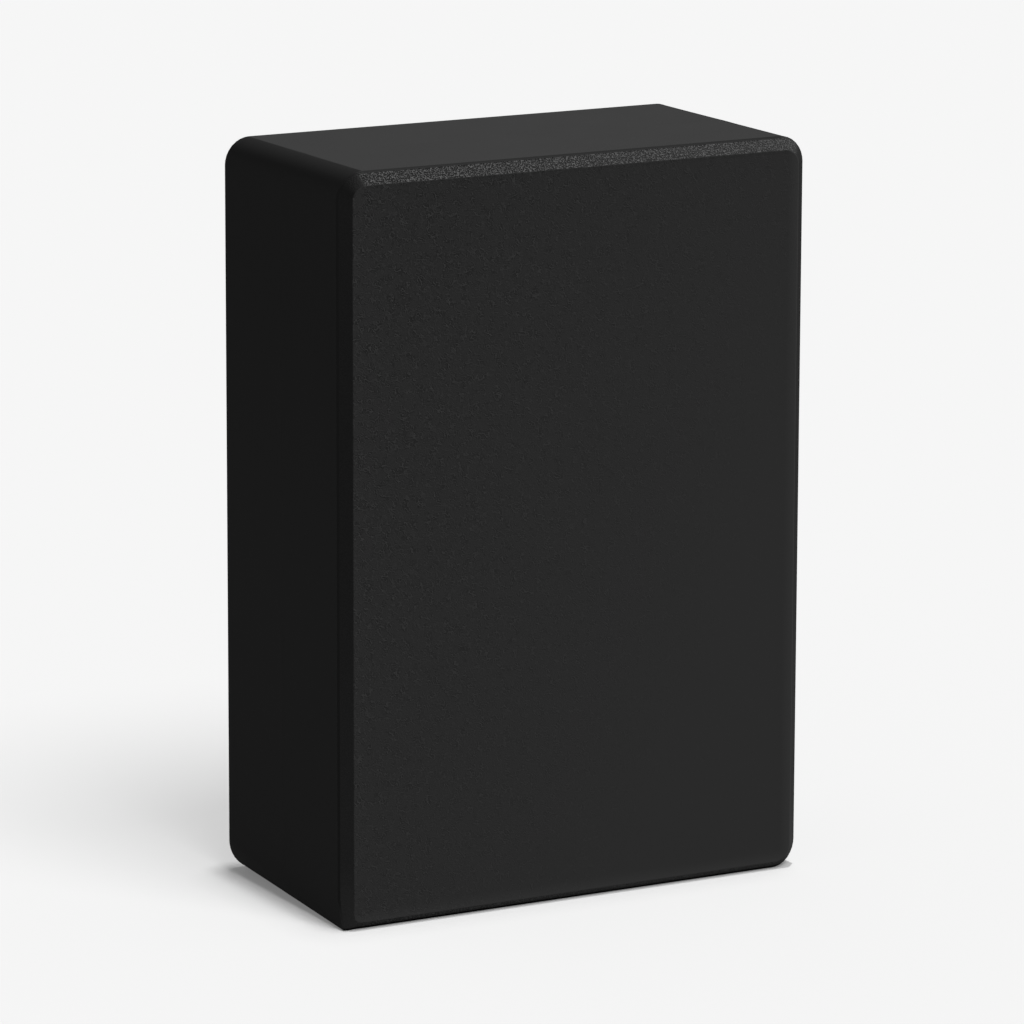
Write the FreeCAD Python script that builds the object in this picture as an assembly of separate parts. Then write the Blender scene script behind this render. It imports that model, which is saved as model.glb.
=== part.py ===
import FreeCAD, Part
import os

# Firm foam yoga block, standing on one end. All sizes are in millimetres.
# X runs across the broad faces, Y from the front face to the rear face, Z up from the end that it stands on.
# The origin is the middle of that end.
# Two foam slabs are glued broad face to broad face, then cut to one outline and bevelled round both faces.

# Outline of the broad faces
BLOCK_WIDTH = 152.4
BLOCK_HEIGHT = 220.0

# Layers, from which the block's depth follows
SLAB_THICKNESS = 38.9
GLUE_THICKNESS = 0.2

# Worked edges
CORNER_RADIUS = 8.0
EDGE_BEVEL = 3.3


def rounded_board(front_y, thickness):
    """A board of the block's outline whose four front-to-rear edges are rounded."""
    low_corner = FreeCAD.Vector(-BLOCK_WIDTH / 2, front_y, 0)
    board = Part.makeBox(BLOCK_WIDTH, thickness, BLOCK_HEIGHT, low_corner)
    corner_edges = [edge for edge in board.Edges if edge.BoundBox.YLength > thickness / 2]
    return board.makeFillet(CORNER_RADIUS, corner_edges)


def foam_slab(front_y, broad_face_y):
    """A foam slab with a 45 degree bevel all round its outer broad face."""
    slab = rounded_board(front_y, SLAB_THICKNESS)
    rim_edges = [edge for edge in slab.Edges if abs(edge.CenterOfMass.y - broad_face_y) < SLAB_THICKNESS / 4]
    return slab.makeChamfer(EDGE_BEVEL, rim_edges)


def front_foam_slab():
    """The slab whose broad face is the front of the block."""
    front_face_y = -GLUE_THICKNESS / 2 - SLAB_THICKNESS
    return foam_slab(front_face_y, front_face_y)


def rear_foam_slab():
    """The slab whose broad face is the rear of the block."""
    seam_y = GLUE_THICKNESS / 2
    return foam_slab(seam_y, seam_y + SLAB_THICKNESS)


def glue_film():
    """The dried adhesive between the slabs, trimmed flush with them."""
    return rounded_board(-GLUE_THICKNESS / 2, GLUE_THICKNESS)


PIECES = {
    "front_foam_slab": front_foam_slab,
    "rear_foam_slab": rear_foam_slab,
    "glue_film": glue_film,
}

os.makedirs("parts", exist_ok=True)
for node, make_piece in PIECES.items():
    piece = make_piece()
    piece.exportStep(os.path.join("parts", node + ".step"))
    print(node, "volume", round(piece.Volume), "mm3, valid", piece.isValid())
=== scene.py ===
import math

import bpy
import numpy as np
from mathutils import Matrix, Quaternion, Vector, noise


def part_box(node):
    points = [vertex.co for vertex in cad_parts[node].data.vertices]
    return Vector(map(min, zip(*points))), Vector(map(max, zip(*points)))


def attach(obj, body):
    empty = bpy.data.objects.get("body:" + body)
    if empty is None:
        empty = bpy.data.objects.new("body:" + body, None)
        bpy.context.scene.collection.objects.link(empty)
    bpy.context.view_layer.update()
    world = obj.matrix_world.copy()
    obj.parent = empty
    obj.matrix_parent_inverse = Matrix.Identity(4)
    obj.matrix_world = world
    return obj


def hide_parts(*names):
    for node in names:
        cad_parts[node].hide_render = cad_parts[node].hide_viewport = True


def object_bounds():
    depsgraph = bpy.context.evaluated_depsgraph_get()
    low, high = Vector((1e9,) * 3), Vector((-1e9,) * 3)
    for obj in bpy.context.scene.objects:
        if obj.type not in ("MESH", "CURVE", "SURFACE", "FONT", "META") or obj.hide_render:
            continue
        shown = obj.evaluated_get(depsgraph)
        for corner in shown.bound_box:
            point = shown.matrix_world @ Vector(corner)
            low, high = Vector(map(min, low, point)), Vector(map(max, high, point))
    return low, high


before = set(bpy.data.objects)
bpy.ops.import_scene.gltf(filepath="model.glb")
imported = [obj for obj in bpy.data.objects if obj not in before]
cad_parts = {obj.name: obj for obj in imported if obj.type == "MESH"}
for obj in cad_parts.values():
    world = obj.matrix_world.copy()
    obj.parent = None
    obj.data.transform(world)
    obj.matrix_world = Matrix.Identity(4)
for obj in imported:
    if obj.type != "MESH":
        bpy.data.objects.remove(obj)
cad_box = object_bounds()

# A firm black foam yoga block, standing on one end on a pale floor.
# Metres, in the part's own frame: X across the broad faces, Y from front to rear, Z up.
MM = 0.001

# Worked edges, as the solids have them
CORNER_RADIUS = 8.0 * MM
EDGE_BEVEL = 3.3 * MM

# Where the work strays from the drawing, with shares for the left, right, lower and upper edge:
# the front bevel is uneven, and its left edge gets shallow just above the floor,
# and the lower left corner widens from nearly square at the front to well round at the rear
FRONT_WIDTH_SHARES = np.array((0.84, 1.0, 0.7, 1.13))
FRONT_DEPTH_SHARES = np.array((1.45, 1.0, 0.7, 1.0))
REAR_SHARES = np.ones(4)
FRONT_RUN_OUT_SHARE = 0.35
REAR_RUN_OUT_SHARE = 1.0
RUN_OUT_HEIGHT = 9 * MM
LEFT_REACH = (0.3, 0.7)
LOWER_LEFT_RADII = (0.8 * MM, 10.2 * MM)

# Fine work on the edges: soft arrises, and the line that the bevel cutter leaves along the walls
ARRIS_EASE = 0.2 * MM
TOOL_LINE_WIDTH = 0.8 * MM
TOOL_LINE_DEPTH = 0.12 * MM
TOOL_LINE_EASE = 0.08 * MM

# Spacing of the mesh, and how close to the ends of a straight run its first and last rings are
FACE_STEP = 1.0 * MM
BEVEL_STEP = 0.45 * MM
LINE_STEP = 0.2 * MM
WALL_STEP = 2.5 * MM
SUPPORT = 0.1 * MM
EASE_STEPS = 3
RIM_SHARES = (0.04, 0.08, 0.25, 0.5, 0.75, 1.0)

# Unevenness of the foam: how wide its humps are and how deep they go at most,
# how much of the torn cells the sides have, and how far from an edge the waves fade
FACE_WAVE = (24 * MM, 0.06 * MM)
WALL_WAVE = (30 * MM, 0.08 * MM)
TORN_CELLS = (1.6 * MM, 0.2 * MM)
SIDE_TEAR_SHARE = 0.1
WAVE_FADE = 6 * MM

# Painted light along a broad face's rim, for the light its arrises catch from the lamps and the floor: how
# far it reaches in from the arris, and how strong it is on the left, on the right, below and above; and
# how far in the nicks of wear along the upper arris reach
RIM_LIGHT_WIDTH = 3.6 * MM
RIM_LIGHT_SHARES = np.array((0.1, 1.0, 1.0, 0.0))
NICK_WIDTH = 0.8 * MM

# Painted light on an upper round, lifting the shade it falls into as it turns from the top: how far up the
# foam faces where it starts and where it ends
ROUND_LIGHT_STARTS = (0.0, 0.25)
ROUND_LIGHT_ENDS = (0.75, 1.0)

# How open the skin of a broad face is at its upper left, and what that loses across the face and down it
OPEN_MOST = 1.2
OPEN_LOSS = (0.95, 0.55)
OPEN_LEAST = 0.05

# Ends, from none to all: how far up or down a wall has to face,
# how far left a bevel starts to be one, how far right it stops, and how much of one the lower bevel is
END_WALL = (0.9985, 0.9993)
END_BEVEL_STARTS = (-0.35, -0.2)
END_BEVEL_STOPS = (0.65, 0.85)
LOWER_END_SHARE = 0.8

# Material slots of a slab
FACE, BEVEL, WALL = range(3)


def spaced(start, stop, step):
    """Even stops from start to stop, about one step apart."""
    count = max(1, round(abs(stop - start) / step))
    return np.linspace(start, stop, count + 1)


def stops(length, step):
    """Distances along a straight run: one close to each end, and about a step apart between those."""
    if length < 4 * SUPPORT:
        return [0, length]
    return [0, *spaced(SUPPORT, length - SUPPORT, step), length]


def ramp(values, low, high):
    """0 below low, 1 above high and straight between them."""
    return np.clip((values - low) / (high - low), 0, 1)


def towards(start, stop, share):
    """From start to stop as a share goes from 0 to 1."""
    return start + (stop - start) * share


def hollows(points, wave):
    """How far the foam dips below its full size at each point."""
    width, depth = wave
    return np.array([(0.5 + 0.5 * noise.noise(Vector(point) / width)) * depth for point in points])


def grid_lines(low, high):
    """Lines across a broad face, as (place on the core, share of the rim beyond it)."""
    core = spaced(low + CORNER_RADIUS, high - CORNER_RADIUS, FACE_STEP)
    before = [(core[0], -share) for share in reversed(RIM_SHARES)]
    after = [(core[-1], share) for share in RIM_SHARES]
    return np.array(before + [(place, 0.0) for place in core] + after)


def by_side(reach, shares):
    """A value at each point from its values on the left, right, lower and upper side, and 1 inside."""
    left_below, right_above = np.clip(-reach, 0, 1) ** 2, np.clip(reach, 0, 1) ** 2
    sides = np.stack([left_below[:, 0], right_above[:, 0], left_below[:, 1], right_above[:, 1]], 1)
    return sides @ shares + 1 - sides.sum(1)


def rounded_off(square):
    """Points of a square that reaches from -1 to 1, drawn in to the round that fits inside it."""
    return square * np.sqrt(1 - square[:, ::-1] ** 2 / 2)


class SlabShape:
    """Where a slab's points lie: each reaches out to the walls from a core inside the round corners."""

    def __init__(self, low, high, inward, width_shares, depth_shares, run_out_share):
        self.low = low
        self.high = high
        self.inward = inward
        self.thickness = high.y - low.y
        columns = grid_lines(low.x, high.x)
        rows = grid_lines(low.z, high.z)
        self.numbers = np.arange(len(rows) * len(columns)).reshape(len(rows), len(columns))
        self.core = np.stack(np.meshgrid(columns[:, 0], rows[:, 0]), 2).reshape(-1, 2)
        square = np.stack(np.meshgrid(columns[:, 1], rows[:, 1]), 2).reshape(-1, 2)
        self.reach = rounded_off(square)
        at_lower_left = (square < 0).all(1, keepdims=True)
        self.drawn_reach = np.where(at_lower_left, square, self.reach)
        self.lower_left = np.array((low.x, low.z))
        self.bevel_widths = width_shares * EDGE_BEVEL
        self.width_share = by_side(self.reach, width_shares)
        height = self.core[:, 1] + self.reach[:, 1] * CORNER_RADIUS - low.z
        foot = ramp(-height, -RUN_OUT_HEIGHT, 0) * ramp(-self.reach[:, 0], *LEFT_REACH)
        run_out = towards(1, run_out_share, foot)
        self.depth_share = by_side(self.reach, depth_shares) * run_out
        self.line_share = run_out * (1 - 2 * np.abs(self.reach.prod(1)))

    def rim(self):
        """The numbers on the edge of the broad face, once round, anticlockwise."""
        grid = self.numbers
        return np.concatenate([grid[0, :-1], grid[:-1, -1], grid[-1, :0:-1], grid[:0:-1, 0]])

    def points(self, numbers, depth, inset):
        """Some of the points, at a drawn depth behind the broad face and a drawn inset from the walls."""
        bevel_depth = EDGE_BEVEL * self.depth_share[numbers]
        wall_share = max(0, depth - EDGE_BEVEL) / (self.thickness - EDGE_BEVEL)
        sunk = bevel_depth * min(1, depth / EDGE_BEVEL) + (self.thickness - bevel_depth) * wall_share
        y = (self.low.y if self.inward > 0 else self.high.y) + self.inward * sunk
        inset = (inset * self.width_share[numbers])[:, None]
        flat = self.core[numbers] + self.drawn_reach[numbers] * (CORNER_RADIUS - inset)
        # The lower left corner is still square here, and gets its own round
        radius = np.interp(y, [corner.y for corner in cad_box], LOWER_LEFT_RADII)[:, None]
        radius = np.maximum(radius - inset, inset)
        near = np.clip(1 - (flat - self.lower_left - inset) / radius, 0, 1)
        x, z = (flat + (near - rounded_off(near)) * radius).T
        return np.stack([x, y, z], 1)

    def inside(self, points):
        """How far points are inside the left, right, lower and upper arris of the broad face."""
        x, z = points[:, 0], points[:, 2]
        walls = np.stack([x - self.low.x, self.high.x - x, z - self.low.z, self.high.z - z], 1)
        return walls - self.bevel_widths


def rounded_corner(start, corner, end):
    """Points between start and end on a curve that rounds off a corner."""
    for t in np.linspace(0, 1, EASE_STEPS + 1)[1:-1]:
        yield (1 - t) ** 2 * start + 2 * t * (1 - t) * corner + t ** 2 * end


def edge_profile(thickness):
    """Rings from a broad face's rim back to the seam, as (depth, inset, slot, share of the tool line)."""
    slant = math.sqrt(0.5)
    lip = TOOL_LINE_WIDTH * slant
    sunk = TOOL_LINE_DEPTH * slant
    # Each corner's depth, inset and ease, then the slot, spacing and tool line share of the run after it
    corners = [
        (0, EDGE_BEVEL + 2 * ARRIS_EASE, 0, FACE, BEVEL_STEP, 0),
        (0, EDGE_BEVEL, ARRIS_EASE, BEVEL, BEVEL_STEP, 0),
        (EDGE_BEVEL - lip, lip, TOOL_LINE_EASE, BEVEL, LINE_STEP, 1),
        (EDGE_BEVEL - lip / 2 + sunk, lip / 2 + sunk, TOOL_LINE_EASE, BEVEL, LINE_STEP, 1),
        (EDGE_BEVEL, 0, TOOL_LINE_EASE, WALL, WALL_STEP, 0),
        (thickness, 0, 0, WALL, WALL_STEP, 0),
    ]
    places = [np.array(corner[:2]) for corner in corners]
    ahead = [(end - start) / np.linalg.norm(end - start) for start, end in zip(places, places[1:])]
    rings = []
    for run, along in enumerate(ahead):
        ease, slot, step, line = corners[run][2:]
        next_ease = corners[run + 1][2]
        first = places[run] + along * ease
        last = places[run + 1] - along * next_ease
        points = [first + along * stop for stop in stops(np.linalg.norm(last - first), step)]
        if next_ease:
            points += rounded_corner(last, places[run + 1], places[run + 1] + ahead[run + 1] * next_ease)
        rings += [(*point, slot, line) for point in points]
    return rings


def openness(shape, points):
    """How open the foam is at some points of a broad face or its bevel."""
    size = shape.high - shape.low
    across = (points[:, 0] - shape.low.x) / size.x
    down = (shape.high.z - points[:, 2]) / size.z
    return np.clip(OPEN_MOST - OPEN_LOSS[0] * across - OPEN_LOSS[1] * down, OPEN_LEAST, 1)


def skin_marks(shape, points):
    """What some points of a broad face show: painted light along the rim, nicks along the upper arris,
    open cells.
    """
    inside = shape.inside(points)
    return {
        "painted_light": (ramp(-inside, -RIM_LIGHT_WIDTH, 0) * RIM_LIGHT_SHARES).max(1),
        "nick": ramp(-inside[:, 3], -NICK_WIDTH, 0),
        "open": openness(shape, points),
    }


def bevel_marks(shape, rim, points, line):
    """What a ring of a bevel shows: an end's torn cells, most of them above, and the tool line."""
    sideways, upward = shape.reach[rim].T
    end = ramp(sideways, *END_BEVEL_STARTS) * (1 - ramp(sideways, *END_BEVEL_STOPS))
    return {
        "end": end * np.where(upward > 0, 1, LOWER_END_SHARE),
        "open": openness(shape, points),
        "tool_line": line * shape.line_share[rim],
    }


def wall_marks(upward):
    """What points of a wall show, by how far they face up: the ends, which get the paler tone of painted
    sheen, and painted light on the upper rounds.
    """
    return {
        "end": ramp(np.abs(upward), *END_WALL),
        "painted_light": ramp(upward, *ROUND_LIGHT_STARTS) * (1 - ramp(upward, *ROUND_LIGHT_ENDS)),
    }


def new_piece(name, node, points, faces):
    """A piece of the block that stands for one of its nodes."""
    mesh = bpy.data.meshes.new(name)
    mesh.from_pydata(points.tolist(), [], faces)
    piece = bpy.data.objects.new(name, mesh)
    bpy.context.scene.collection.objects.link(piece)
    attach(piece, "root")
    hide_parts(node)
    return piece


def band(ring, following):
    """Faces between one ring of numbers and the next."""
    return np.stack([ring, following, np.roll(following, -1), np.roll(ring, -1)], 1).tolist()


def foam_slab(name, node, shape):
    """One slab: a gridded broad face, a torn bevel, the tool line, walls and the flat glued side."""
    profile = edge_profile(shape.thickness)

    face = shape.points(shape.numbers.ravel(), 0, profile[0][1])
    face[:, 1] += shape.inward * hollows(face, FACE_WAVE) * ramp(shape.inside(face).min(1), 0, WAVE_FADE)
    points = [face]
    marks = [skin_marks(shape, face)]
    grid = shape.numbers
    quads = np.stack([grid[:-1, :-1], grid[:-1, 1:], grid[1:, 1:], grid[1:, :-1]], 2)
    faces = quads.reshape(-1, 4).tolist()
    slots = [FACE] * len(faces)

    rim = shape.rim()
    ring = rim
    count = len(face)
    for depth, inset, slot, line in profile[1:]:
        at = shape.points(rim, depth, inset)
        if slot == FACE:
            marks.append(skin_marks(shape, at))
        elif slot == BEVEL:
            found = bevel_marks(shape, rim, at, line)
            torn = towards(SIDE_TEAR_SHARE, 1, found["end"]) * (1 - line)
            inset = inset + hollows(at, TORN_CELLS) * torn
            marks.append(found)
        else:
            inset = inset + hollows(at, WALL_WAVE) * min(1, (shape.thickness - depth) / WAVE_FADE)
            marks.append(wall_marks(shape.reach[rim, 1]))
        points.append(shape.points(rim, depth, inset))
        following = np.arange(count, count + len(ring))
        faces += band(ring, following)
        slots += [slot] * len(ring)
        ring = following
        count += len(ring)
    faces.append(ring.tolist()[::-1])
    slots.append(WALL)
    if shape.inward < 0:
        faces = [corners[::-1] for corners in faces]

    slab = new_piece(name, node, np.concatenate(points), faces)
    slab.data.polygons.foreach_set("material_index", slots)
    slab.data.polygons.foreach_set("use_smooth", [True] * len(faces))
    for kind in ("painted_light", "nick", "open", "end", "tool_line"):
        values = [found.get(kind, np.zeros(len(at))) for found, at in zip(marks, points)]
        slab.data.attributes.new(kind, "FLOAT", "POINT").data.foreach_set("value", np.concatenate(values))
    return slab


def glue_film(name, node, front, rear):
    """The film between the slabs, trimmed flush with their walls."""
    rings = [shape.points(shape.rim(), shape.thickness, 0) for shape in (front, rear)]
    before = np.arange(len(rings[0]))
    behind = before + len(before)
    faces = [before.tolist(), *band(before, behind), behind.tolist()[::-1]]
    return new_piece(name, node, np.concatenate(rings), faces)


class Wire:
    """One output in a node tree. Sums of wires and numbers add Math nodes."""

    def __init__(self, tree, socket=None):
        self.tree = tree
        self.socket = socket

    def node(self, kind, settings=None, inputs=None, output=0):
        """Add a node, its settings first and then its sockets' values or links, and give one output."""
        made = self.tree.nodes.new("ShaderNode" + kind)
        for name, value in (settings or {}).items():
            setattr(made, name, value)
        for name, value in (inputs or {}).items():
            if isinstance(value, Wire):
                self.tree.links.new(value.socket, made.inputs[name])
            else:
                made.inputs[name].default_value = value
        return Wire(self.tree, made.outputs[output] if made.outputs else None)

    def math(self, operation, *values):
        return self.node("Math", {"operation": operation}, dict(enumerate(values)))

    def __add__(self, other):
        return self.math("ADD", self, other)

    __radd__ = __add__

    def __sub__(self, other):
        return self.math("SUBTRACT", self, other)

    def __rsub__(self, other):
        return self.math("SUBTRACT", other, self)

    def __mul__(self, other):
        return self.math("MULTIPLY", self, other)

    __rmul__ = __mul__

    def between(self, low, high):
        """0 below low, 1 above high, and smooth between them."""
        settings = {"interpolation_type": "SMOOTHSTEP", "clamp": True}
        return self.node("MapRange", settings, {"Value": self, "From Min": low, "From Max": high})

    def mix(self, dark, light):
        """A colour from dark to light as this wire goes from 0 to 1."""
        inputs = {"Factor": self, 6: (*dark, 1), 7: (*light, 1)}
        return self.node("Mix", {"data_type": "RGBA"}, inputs, output=2)


# Foam: how pale each finish is, and the palest that a cell gets
FACE_TONE = 0.0326
# The ends are painted paler than the long sides and their rounds, as painted sheen for the glare the flat
# top catches
END_TONE_WITH_SHEEN = 0.0342
SIDE_TONE = 0.0182
TORN_END_TONE = 0.0625
TORN_SIDE_TONE = 0.038
# The tool line's tones are painted shade, for the shade in its groove
LINE_END_SHADE_TONE = 0.027
LINE_SIDE_SHADE_TONE = 0.0185
FOAM_PALEST = 0.1

# Foam: how dull it is and by how much that varies, and its gloss: next to none, and none where it is torn
FOAM_ROUGHNESS = 0.85
TORN_ROUGHNESS = 0.9
ROUGHNESS_SPREAD = 0.1
FOAM_SHINE = 0.03
TORN_SHINE = 0.0

# Roughness of the noise that all grain is made of
GRAIN_ROUGHNESS = 0.6

# Skin of a broad face: its open patches, and how much of the cells shows outside them
PATCH_WIDTH = 2.8 * MM
PATCH_FADE = (0.42, 0.66)
LEAST_BARE = 0.25

# Its cells: pale walls, which fade into dark flanks, which fade into plain skin
CELL_WIDTH = 1.1 * MM
CELL_WALL_FADE = (0, 0.08)
CELL_FLANK_FADE = (0.1, 0.22)
CELL_FLANK_SHARE = 0.7

# Its pinholes, nicks and relief
PINHOLE_SPACING = 3 * MM
PINHOLE_WIDTH = 0.7 * MM
NICK_LENGTH = 1.3 * MM
NICK_FADE = (0.35, 0.6)
SKIN_RELIEF = 0.05 * MM

# What its tone gains or loses by what it shows
CELL_GAIN = 0.467
# Painted light along the rim, for the light its arrises catch from the lamps and the floor
RIM_LIGHT_GAIN = 0.28
OPEN_TONE_LOSS = 0.093
# Pinholes are painted dark, as painted shade inside them
PINHOLE_SHADE_LOSS = 0.187
NICK_LOSS = 0.25

# Bevel: its torn cells, their relief and contrast, and how much of them shows where the skin is closed
TORN_WIDTH = 0.42 * MM
TORN_FADE = (0.36, 0.64)
TORN_RELIEF = 0.5 * MM
TORN_CONTRAST = 1.4
LEAST_TORN = 0.4

# Painted shade by height, for the floor's light that fades upwards, as (from, to, share lost)
BEVEL_PAINTED_SHADE = [(1 * MM, 22 * MM, 0.27), (30 * MM, 120 * MM, 0.16)]
WALL_PAINTED_SHADE = [(90 * MM, 190 * MM, 0.135)]

# Painted contact shade on the bevel's foot, next to the floor
CONTACT_SHADE_HEIGHT = (0.3 * MM, 1.2 * MM)
CONTACT_SHADE_LOSS = 0.85

# Walls: fine grain, broad patches, painted light on the upper rounds and relief
WALL_GRAIN_WIDTH = 0.6 * MM
WALL_GRAIN_SHARE = 0.06
WALL_PATCH_WIDTH = 14 * MM
WALL_PATCH_SHARE = 0.12
ROUND_LIGHT_GAIN = 0.22
WALL_RELIEF = 0.003 * MM

# Glue: its tone next to the walls' tone, its beads and their relief
GLUE_SHARE = 0.95
BEAD_WIDTH = 2 * MM
BEAD_SHARE = 0.2
GLUE_RELIEF = 0.005 * MM


def empty_tree(owner):
    """An owner's node tree with nothing in it."""
    owner.use_nodes = True
    owner.node_tree.nodes.clear()
    return Wire(owner.node_tree)


def new_finish(name):
    """A material with nothing in it, its tree and the place on the piece."""
    material = bpy.data.materials.new(name)
    tree = empty_tree(material)
    return material, tree, tree.node("TexCoord", None, None, "Object")


def grain(place, width, detail=2.0):
    """Fine noise from 0 to 1, with lumps about one width across."""
    inputs = {"Vector": place, "Scale": 1 / width, "Detail": detail, "Roughness": GRAIN_ROUGHNESS}
    return place.node("TexNoise", None, inputs)


def swing(place, width, detail=2.0):
    """The same noise, about 0."""
    return grain(place, width, detail) - 0.5


def pinholes(place, spacing, width):
    """Small round holes, 1 in their middle and 0 outside, scattered about one spacing apart."""
    inputs = {"Vector": place, "Scale": 1 / spacing}
    distance = place.node("TexVoronoi", {"feature": "F1"}, inputs, "Distance")
    radius = width / spacing / 2
    return 1 - distance.between(radius / 2, radius)


def upright(vector):
    """How far up a place is, or a normal points."""
    return vector.node("SeparateXYZ", None, {"Vector": vector}, "Z")


def darkened(tone, height, steps):
    """A tone at a height, after each step of painted shade has taken its share."""
    return tone * (1 - sum(share * height.between(low, high) for low, high, share in steps))


def grey(level):
    return (level, level, level)


def mark(tree, name):
    """A mark that the mesh carries."""
    return tree.node("Attribute", {"attribute_name": name}, None, "Fac")


def foam_surface(tree, tone, roughness, relief, depth, shine=FOAM_SHINE):
    """Dull black foam: its tone, how rough it is, its relief and its gloss."""
    bump = tree.node("Bump", None, {"Strength": 1.0, "Distance": depth, "Height": relief})
    surface = tree.node("BsdfPrincipled", None, {
        "Base Color": (tone * (1 / FOAM_PALEST)).mix(grey(0), grey(FOAM_PALEST)),
        "Roughness": roughness,
        "Specular IOR Level": shine,
        "Normal": bump,
    })
    tree.node("OutputMaterial", None, {"Surface": surface})


def fine_foam(name):
    """Pressed skin of a broad face: open cells in patches, pinholes with painted shade in them, painted
    light along the rims, a nicked upper arris.
    """
    material, tree, place = new_finish(name)
    cut = mark(tree, "open")
    bare = cut * towards(LEAST_BARE, 1, grain(place, PATCH_WIDTH, detail=3.0).between(*PATCH_FADE))
    aside = tree.math("ABSOLUTE", swing(place, CELL_WIDTH, detail=0.5))
    wall = 1 - (1 + CELL_FLANK_SHARE) * aside.between(*CELL_WALL_FADE)
    cells = (wall + CELL_FLANK_SHARE * aside.between(*CELL_FLANK_FADE)) * bare
    holes = pinholes(place, PINHOLE_SPACING, PINHOLE_WIDTH) * bare
    nicks = mark(tree, "nick") * grain(place, NICK_LENGTH, detail=1.0).between(*NICK_FADE)
    # The rim's gain is painted light
    gain = CELL_GAIN * cells + RIM_LIGHT_GAIN * mark(tree, "painted_light")
    # The pinholes' loss is painted shade inside them
    loss = OPEN_TONE_LOSS * cut + PINHOLE_SHADE_LOSS * holes
    tone = FACE_TONE * (1 + gain - loss) * (1 - NICK_LOSS * nicks)
    foam_surface(tree, tone, FOAM_ROUGHNESS + ROUGHNESS_SPREAD * cells, cells - holes, SKIN_RELIEF)
    return material


def torn_foam(name):
    """Bevel: cells torn open along the ends, closed on the sides, with painted shade along the tool line's
    groove, up the side bevels and at the foot next to the floor.
    """
    material, tree, place = new_finish(name)
    height = upright(place)
    # Painted contact shade: the bevel goes dark next to the floor, where the floor's shade falls on it
    foot = 1 - height.between(*CONTACT_SHADE_HEIGHT)
    end = mark(tree, "end")
    line = mark(tree, "tool_line")
    torn = grain(place, TORN_WIDTH, detail=1.0).between(*TORN_FADE)
    share = towards(SIDE_TEAR_SHARE, 1, end * towards(LEAST_TORN, 1, mark(tree, "open")))
    rough = (torn - 0.5) * share * (1 - line)
    # The side bevels carry painted shade that darkens them upwards
    level = towards(darkened(TORN_SIDE_TONE, height, BEVEL_PAINTED_SHADE), TORN_END_TONE, end)
    # The tool line is painted dark, as painted shade for its groove
    groove_shade = towards(LINE_SIDE_SHADE_TONE, LINE_END_SHADE_TONE, end)
    tone = towards(level * (1 + TORN_CONTRAST * rough), groove_shade, line) * (1 - CONTACT_SHADE_LOSS * foot)
    foam_surface(tree, tone, TORN_ROUGHNESS - ROUGHNESS_SPREAD * rough, rough, TORN_RELIEF, TORN_SHINE)
    return material


def wall_tone(place, end):
    """Tone of the walls: the ends are painted paler than the long sides, as painted sheen, and the long
    sides carry painted shade that darkens them a little upwards.
    """
    return towards(darkened(SIDE_TONE, upright(place), WALL_PAINTED_SHADE), END_TONE_WITH_SHEEN, end)


def smooth_foam(name):
    """Closed, smooth foam of the walls, with painted light on the upper rounds."""
    material, tree, place = new_finish(name)
    cells = swing(place, WALL_GRAIN_WIDTH)
    patches = swing(place, WALL_PATCH_WIDTH)
    uneven = 1 + WALL_GRAIN_SHARE * cells + WALL_PATCH_SHARE * patches
    # Painted light brightens the upper rounds where they turn from the top, lifting the shade they fall
    # into
    tone = wall_tone(place, mark(tree, "end")) * uneven * (1 + ROUND_LIGHT_GAIN * mark(tree, "painted_light"))
    foam_surface(tree, tone, FOAM_ROUGHNESS + ROUGHNESS_SPREAD * patches, cells, WALL_RELIEF)
    return material


def dried_glue(name):
    """Contact adhesive gone hard at the seam: as dull as the foam round it, and near its tone."""
    material, tree, place = new_finish(name)
    normal = tree.node("TexCoord", None, None, "Normal")
    end = tree.math("ABSOLUTE", upright(normal)).between(*END_WALL)
    beads = swing(place, BEAD_WIDTH)
    # Like the walls, the glue is painted paler where it faces up, as painted sheen, and darker up its long
    # sides, as painted shade
    tone = wall_tone(place, end) * (GLUE_SHARE + BEAD_SHARE * beads)
    foam_surface(tree, tone, FOAM_ROUGHNESS + BEAD_SHARE * beads, beads, GLUE_RELIEF)
    return material


def dress():
    """The two slabs and the film of glue between them."""
    finishes = [fine_foam("fine_foam"), torn_foam("torn_foam"), smooth_foam("smooth_foam")]
    front_work = (FRONT_WIDTH_SHARES, FRONT_DEPTH_SHARES, FRONT_RUN_OUT_SHARE)
    rear_work = (REAR_SHARES, REAR_SHARES, REAR_RUN_OUT_SHARE)
    front = SlabShape(*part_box("front_foam_slab"), 1, *front_work)
    rear = SlabShape(*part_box("rear_foam_slab"), -1, *rear_work)
    slabs = [
        foam_slab("front_slab", "front_foam_slab", front),
        foam_slab("rear_slab", "rear_foam_slab", rear),
    ]
    for slab in slabs:
        for material in finishes:
            slab.data.materials.append(material)
    film = glue_film("glue_line", "glue_film", front, rear)
    film.data.materials.append(dried_glue("dried_glue"))
    return slabs + [film]


# Floor: its size, how white it looks, how much of that a shadow can take away, and what it throws back
FLOOR_SIDE = 300.0
FLOOR_WHITE = 0.922
SHADOW_DEPTH = 0.826
FLOOR_BOUNCE = 0.24

# Light: an even sky, then lamps as (azimuth, elevation, level, angle across)
SKY = 0.26
KEY = (71, 48.6, 1.35, 20)
REAR_FILL = (170, 12, 0.3, 20)
FLOOR_LAMPS = {
    "floor_front": (5.2, 59.6, 0.92, 30.4),
    "floor_overhead": (49, 88.7, 0.815, 2.4),
    "floor_side": (117, 87.3, 0.28, 4.7),
}


def on_the_level(lamp):
    """How much of a lamp's light a level floor gets."""
    azimuth, elevation, level, angle = lamp
    return level * math.sin(math.radians(elevation))


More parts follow.
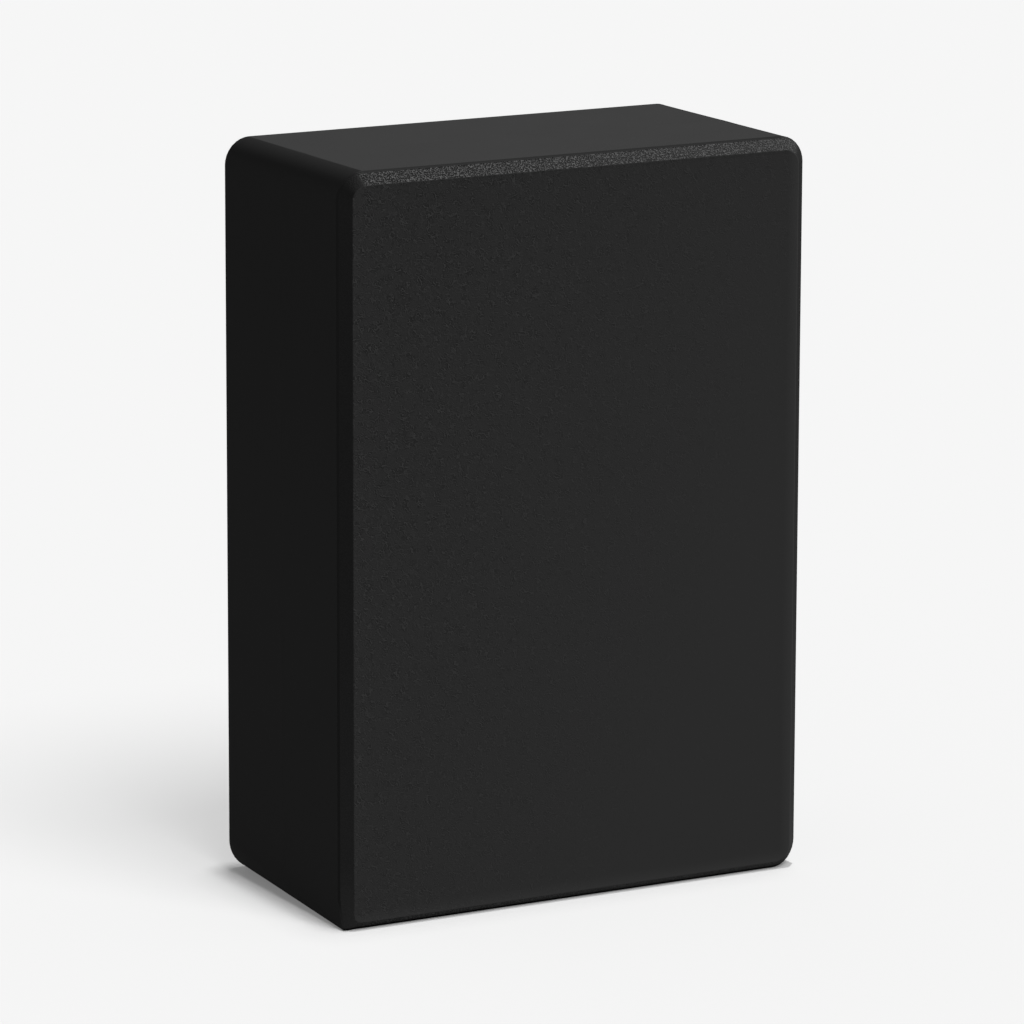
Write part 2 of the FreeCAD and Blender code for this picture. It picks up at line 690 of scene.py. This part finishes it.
def pale_floor():
    """The sweep that the block stands on: pale to the eye, with a soft shadow and less bounce."""
    half = FLOOR_SIDE / 2
    corners = [(-half, -half, 0), (half, -half, 0), (half, half, 0), (-half, half, 0)]
    mesh = bpy.data.meshes.new("floor")
    mesh.from_pydata(corners, [], [(0, 1, 2, 3)])
    floor = bpy.data.objects.new("floor", mesh)
    bpy.context.scene.collection.objects.link(floor)
    material = bpy.data.materials.new("pale_floor")
    tree = empty_tree(material)
    direct = tree.node("LightPath", None, None, "Is Camera Ray")
    glossy = tree.node("LightPath", None, None, "Is Glossy Ray")
    through = tree.node("LightPath", None, None, "Is Transmission Ray")
    seen = tree.math("MAXIMUM", tree.math("MAXIMUM", direct, glossy), through)
    paint = FLOOR_WHITE / (SKY + sum(map(on_the_level, FLOOR_LAMPS.values())))
    lit = tree.node("BsdfDiffuse", None, {"Color": (*grey(paint), 1)})
    even = tree.node("Emission", None, {"Color": (1, 1, 1, 1), "Strength": FLOOR_WHITE})
    pale = tree.node("MixShader", None, {0: SHADOW_DEPTH, 1: even, 2: lit})
    dim = tree.node("BsdfDiffuse", None, {"Color": (*grey(FLOOR_BOUNCE), 1)})
    surface = tree.node("MixShader", None, {0: seen, 1: dim, 2: pale})
    tree.node("OutputMaterial", None, {"Surface": surface})
    mesh.materials.append(material)
    return floor


def sky():
    """Even light from all round."""
    world = bpy.data.worlds.new("sky")
    bpy.context.scene.world = world
    tree = empty_tree(world)
    glow = tree.node("Background", None, {"Color": (1, 1, 1, 1), "Strength": SKY})
    tree.node("OutputWorld", None, {"Surface": glow})


def sun(name, lamp, lit, glare=True):
    """Soft parallel light on some pieces, from an azimuth that runs from the front towards the right."""
    azimuth, elevation, level, angle = lamp
    data = bpy.data.lights.new(name, "SUN")
    data.energy = level * math.pi
    data.angle = math.radians(angle)
    light = bpy.data.objects.new(name, data)
    bpy.context.scene.collection.objects.link(light)
    a, e = math.radians(azimuth), math.radians(elevation)
    source = Vector((math.sin(a) * math.cos(e), -math.cos(a) * math.cos(e), math.sin(e)))
    light.rotation_euler = source.to_track_quat("Z", "Y").to_euler()
    light.visible_glossy = glare
    receivers = bpy.data.collections.new(name + "_lights")
    for piece in lit:
        receivers.objects.link(piece)
    light.light_linking.receiver_collection = receivers


# Camera, from the photograph's outline
VIEW_YAW = 28.995
VIEW_PITCH = 12.262
VIEW_ROLL = 0.192
VIEW_DISTANCE = 1832.9 * MM
VIEW_TARGET = Vector((-0.464, 0, 108.341)) * MM
VIEW_LENS = 219.11
SENSOR_WIDTH = 36


def photographers_camera():
    """The photograph's view, from the front left and a little above."""
    data = bpy.data.cameras.new("camera")
    data.lens = VIEW_LENS
    data.sensor_width = SENSOR_WIDTH
    camera = bpy.data.objects.new("camera", data)
    bpy.context.scene.collection.objects.link(camera)
    yaw, pitch = math.radians(VIEW_YAW), math.radians(VIEW_PITCH)
    forward = Vector((math.sin(yaw) * math.cos(pitch), math.cos(yaw) * math.cos(pitch), -math.sin(pitch)))
    level = forward.to_track_quat("-Z", "Y")
    camera.location = VIEW_TARGET - forward * VIEW_DISTANCE
    camera.rotation_euler = (level @ Quaternion((0, 0, 1), math.radians(VIEW_ROLL))).to_euler()
    bpy.context.scene.camera = camera


photographers_camera()
block = dress()
floor = pale_floor()
sky()
sun("key", KEY, block)
sun("rear_fill", REAR_FILL, block, glare=False)
for name, lamp in FLOOR_LAMPS.items():
    sun(name, lamp, [floor])
bpy.context.scene.view_settings.view_transform = "Standard"
